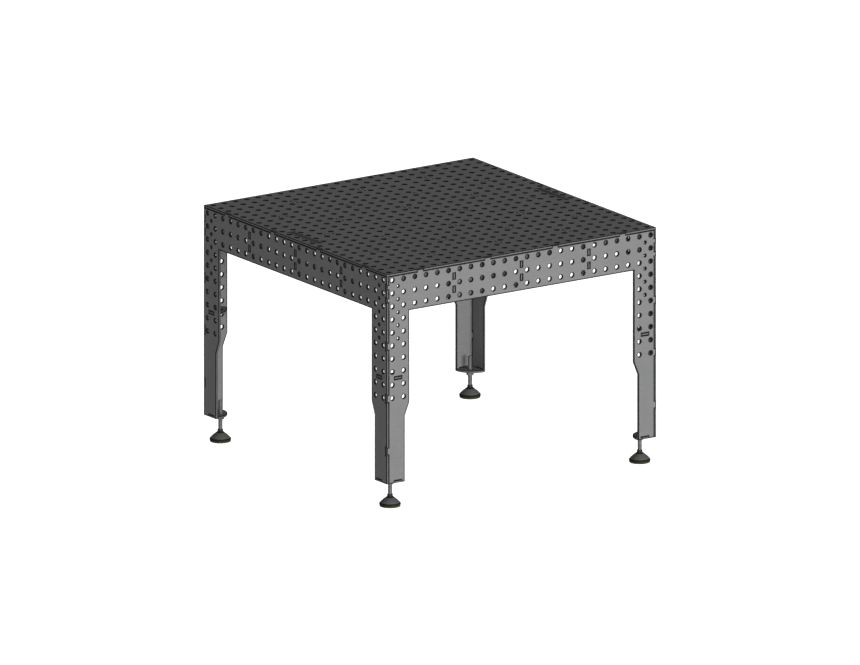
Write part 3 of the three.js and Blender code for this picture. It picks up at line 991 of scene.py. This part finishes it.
def turned_steel(name, level, warmth, radial, axial, roughness, black_below=0.0):
    """A turned surface with fine concentric marks and handling stains, blackened up to a height."""
    n = Nodes(name)
    dark = grey(0.85 * level, warmth)
    light = grey(1.12 * level, warmth)
    stained = grey(0.55 * level, warmth + 0.06)
    marks = n.noise(n.polar(radial, axial))
    cloud = n.noise(n.place, scale=45, detail=4, roughness=0.6)
    stain = n.ramp(cloud, span=(0.5, 0.8), result=(0, 0.55))
    colour = n.blend(stain, n.blend(marks, dark, light), stained)
    black = n.ramp(n.coordinate("Z"), (black_below - BLACK_FADE, black_below), (1, 0))
    return n.done(
        Base_Color=n.blend(black, colour, grey(DARK_STEEL)),
        Metallic=n.ramp(black, (0, 1), (TURNED_METALLIC, 0)),
        Specular_IOR_Level=n.ramp(black, (0, 1), (STEEL_SHINE, DARK_STEEL_SHINE)),
        Roughness=n.math("ADD", roughness, n.math("MULTIPLY", cloud, STAIN_ROUGHNESS)),
        Normal=n.bump(marks, strength=0.3, distance=0.2 * MM),
    )


def moulded(name, dark, light, roughness, grain_scale, depth):
    """Rubber or plastic with the fine grain of its mould and a little dust."""
    n = Nodes(name)
    grain = n.noise(n.place, grain_scale, detail=4, roughness=0.6)
    dust = n.ramp(n.noise(n.place, scale=80, detail=3), span=(0.4, 0.75))
    return n.done(
        Base_Color=n.blend(dust, dark, light),
        Specular_IOR_Level=MOULDED_SHINE,
        Roughness=n.ramp(grain, NOISE_SPAN, (roughness - GRAIN_ROUGHNESS, roughness + GRAIN_ROUGHNESS)),
        Normal=n.bump(grain, strength=0.5, distance=depth),
    )


def floor_material():
    """A pale floor. The camera sees it a little brighter than it is, so that its shadows stay light."""
    n = Nodes("pale_floor")
    dark, light = grey(0.90), grey(0.93)
    position = n.tree.nodes.new("ShaderNodeNewGeometry").outputs["Position"]
    speckle = n.noise(position, scale=40, detail=3)
    seen = n.tree.nodes.new("ShaderNodeLightPath").outputs["Is Camera Ray"]
    return n.done(
        Base_Color=n.blend(speckle, dark, light),
        Roughness=FLOOR_ROUGHNESS,
        Emission_Color=WHITE,
        Emission_Strength=n.math("MULTIPLY", seen, FLOOR_GLOW),
    )


# ---------------------------------------------------------------- the table

def build_plates():
    faces = {slot_name: rolled_steel(slot_name, level) for slot_name, level in PLATE_LEVELS.items()}
    edge = edge_steel("cut_edge", EDGE_LEVEL, EDGE_LEVEL)
    rib_edge = edge_steel("rib_edge", EDGE_LEVEL, FLUSH_END_LEVEL)
    edges = {"top_steel": edge, "panel_steel": edge, "rib_steel": rib_edge}
    # the walls of the holes are painted dark, as shade in the holes
    bore = shaded_bore_steel("cut_bore_shaded", BORE_SHADE_LEVEL)

    def add(shell, node, matrix, slot_name):
        mesh = shell.mesh(node, matrix, [faces[slot_name], edges[slot_name], bore])
        place_piece(mesh, node, "frame")

    add(top_plate(), "top_plate", Matrix.Translation((0, 0, TOP_Z - PLATE)), "top_steel")
    inset_panel, outer_panel = side_panel(True), side_panel(False)
    for node, shell, turns in (
        ("front_panel", inset_panel, 0), ("right_panel", outer_panel, 1),
        ("back_panel", inset_panel, 2), ("left_panel", outer_panel, -1),
    ):
        add(shell, node, upright(turns * QUARTER_TURN, HALF), "panel_steel")
    names = (("front", "right"), ("middle", "middle"), ("back", "left"))
    for place, (long_name, cross_name) in zip(RIB_PLACES, names):
        distance = PLATE / 2 - place
        add(rib(place, True), "rib_long_" + long_name, upright(0, distance), "rib_steel")
        add(rib(place, False), "rib_cross_" + cross_name, upright(QUARTER_TURN, distance), "rib_steel")
    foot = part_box("stud_front_left")
    foot_inset = round((foot[0].x + foot[1].x) / 2 + HALF - PLATE, DIGITS)
    gusset = corner_plate(CLAMP_RADIUS, foot_inset)
    foot_plate = corner_plate(THREAD_RADIUS + THREAD_CLEARANCE, foot_inset)
    for i, corner in enumerate(CORNERS):
        turn = rotation(i * QUARTER_TURN, "Z")
        for kind, shell, height in (
            ("leg_gusset_", gusset, depth_to_height(GUSSET_DEPTH) - PLATE / 2),
            ("foot_plate_", foot_plate, LEG_END),
        ):
            matrix = turn @ Matrix.Translation((PLATE - HALF, PLATE - HALF, height))
            add(shell, kind + corner, matrix, "rib_steel")


def build_feet():
    stud_steel = turned_steel("stud_steel", STUD_LEVEL, warmth=0.04, radial=600, axial=3500, roughness=0.28)
    nut_steel = turned_steel("nut_steel", NUT_LEVEL, warmth=0.03, radial=1200, axial=300, roughness=0.32)
    base_steel = turned_steel(
        "base_steel", BASE_LEVEL, warmth=0.04, radial=1500, axial=1500, roughness=0.42,
        black_below=BASE_BLACK_TOP,
    )
    collar_steel = turned_steel(
        "collar_steel", COLLAR_LEVEL, warmth=0.04, radial=1500, axial=1500, roughness=0.5,
    )
    liner = moulded(
        "liner_plastic", dark=grey(0.62, warmth=0.05), light=grey(0.72, warmth=0.05),
        roughness=0.45, grain_scale=700, depth=0.2 * MM,
    )
    rubber = moulded("pad_rubber", RUBBER_DARK, RUBBER_LIGHT, roughness=0.85, grain_scale=900, depth=0.4 * MM)
    kinds = (
        ("stud_", "_stud", "stud_steel", stud_steel, stud_mesh, None, False),
        ("lock_nut_", "_nut", "nut_steel", nut_steel, nut_mesh, None, False),
        ("ball_cup_", "_carrier", "liner_plastic", liner, turned_mesh, ball_cup, True),
        ("ball_ring_", "_gimbal", "liner_plastic", liner, turned_mesh, ball_ring, True),
        ("foot_base_", "_base", "base_steel", base_steel, turned_mesh, foot_base, False),
        ("foot_collar_", "_base", "base_steel", collar_steel, turned_mesh, foot_collar, True),
        ("foot_pad_", "_base", "pad_rubber", rubber, turned_mesh, foot_pad, False),
    )
    for corner in CORNERS:
        low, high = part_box("stud_" + corner)
        axis = Matrix.Translation(((low.x + high.x) / 2, (low.y + high.y) / 2, 0))
        for kind, body, slot_name, material, maker, profile, closed in kinds:
            node = kind + corner
            mesh = maker(node, profile(), closed) if profile else maker(node)
            finished(mesh, axis, [material])
            place_piece(mesh, node, corner + body)


# ---------------------------------------------------------------- studio

def direction(azimuth, elevation):
    """From the table towards a lamp or the camera. Azimuth 0 is in front of the table, 90 to its right."""
    flat = math.cos(elevation)
    return Vector((math.sin(azimuth) * flat, -math.cos(azimuth) * flat, math.sin(elevation)))


def add_camera():
    camera = bpy.data.objects.new("camera", bpy.data.cameras.new("camera"))
    bpy.context.scene.collection.objects.link(camera)
    back = direction(CAMERA_AZIMUTH, CAMERA_ELEVATION)
    camera.data.type = "ORTHO"
    camera.data.ortho_scale = CAMERA_WIDTH
    camera.data.clip_end = CAMERA_REACH
    camera.location = Vector(CAMERA_AIM) + back * CAMERA_DISTANCE
    camera.rotation_euler = (-back).to_track_quat("-Z", "Y").to_euler()
    bpy.context.scene.camera = camera


def add_sun(name, azimuth, elevation, strength, casts_shadow):
    lamp = bpy.data.objects.new(name, bpy.data.lights.new(name, "SUN"))
    lamp.data.energy = strength
    lamp.data.angle = SUN_SOFTNESS
    lamp.data.use_shadow = casts_shadow
    towards = direction(azimuth, elevation)
    lamp.rotation_euler = (-towards).to_track_quat("-Z", "Y").to_euler()
    bpy.context.scene.collection.objects.link(lamp)


def add_floor():
    mesh = bpy.data.meshes.new("floor")
    corners = [(-1, -1), (1, -1), (1, 1), (-1, 1)]
    mesh.from_pydata([(x * FLOOR_HALF, y * FLOOR_HALF, FLOOR_HEIGHT) for x, y in corners], [], [(0, 1, 2, 3)])
    mesh.materials.append(floor_material())
    floor = bpy.data.objects.new("floor", mesh)
    bpy.context.scene.collection.objects.link(floor)


def add_world():
    """A white room, brighter on one side. The camera sees it plain white."""
    world = bpy.data.worlds.new("studio")
    world.use_nodes = True
    tree = world.node_tree
    place = tree.nodes.new("ShaderNodeTexCoord").outputs["Generated"]
    facing = tree.nodes.new("ShaderNodeVectorMath")
    facing.operation = "DOT_PRODUCT"
    tree.links.new(place, facing.inputs[0])
    facing.inputs[1].default_value = direction(WORLD_AZIMUTH, WORLD_ELEVATION)
    level = tree.nodes.new("ShaderNodeMapRange")
    tree.links.new(facing.outputs["Value"], level.inputs["Value"])
    for socket, value in zip(RANGE_SOCKETS, (*WORLD_RANGE, WORLD_DARKEST, WORLD_BRIGHTEST)):
        level.inputs[socket].default_value = value
    seen = tree.nodes.new("ShaderNodeLightPath").outputs["Is Camera Ray"]
    strength = tree.nodes.new("ShaderNodeMix")
    tree.links.new(seen, strength.inputs["Factor"])
    tree.links.new(level.outputs["Result"], strength.inputs["A"])
    strength.inputs["B"].default_value = 1
    background = tree.nodes["Background"]
    background.inputs["Color"].default_value = WHITE
    tree.links.new(strength.outputs["Result"], background.inputs["Strength"])
    bpy.context.scene.world = world


build_plates()
build_feet()
add_floor()
add_world()
add_sun("key", KEY_AZIMUTH, KEY_ELEVATION, KEY_STRENGTH, True)
add_sun("fill", FILL_AZIMUTH, FILL_ELEVATION, FILL_STRENGTH, False)
add_camera()
bpy.context.scene.view_settings.view_transform = "Standard"
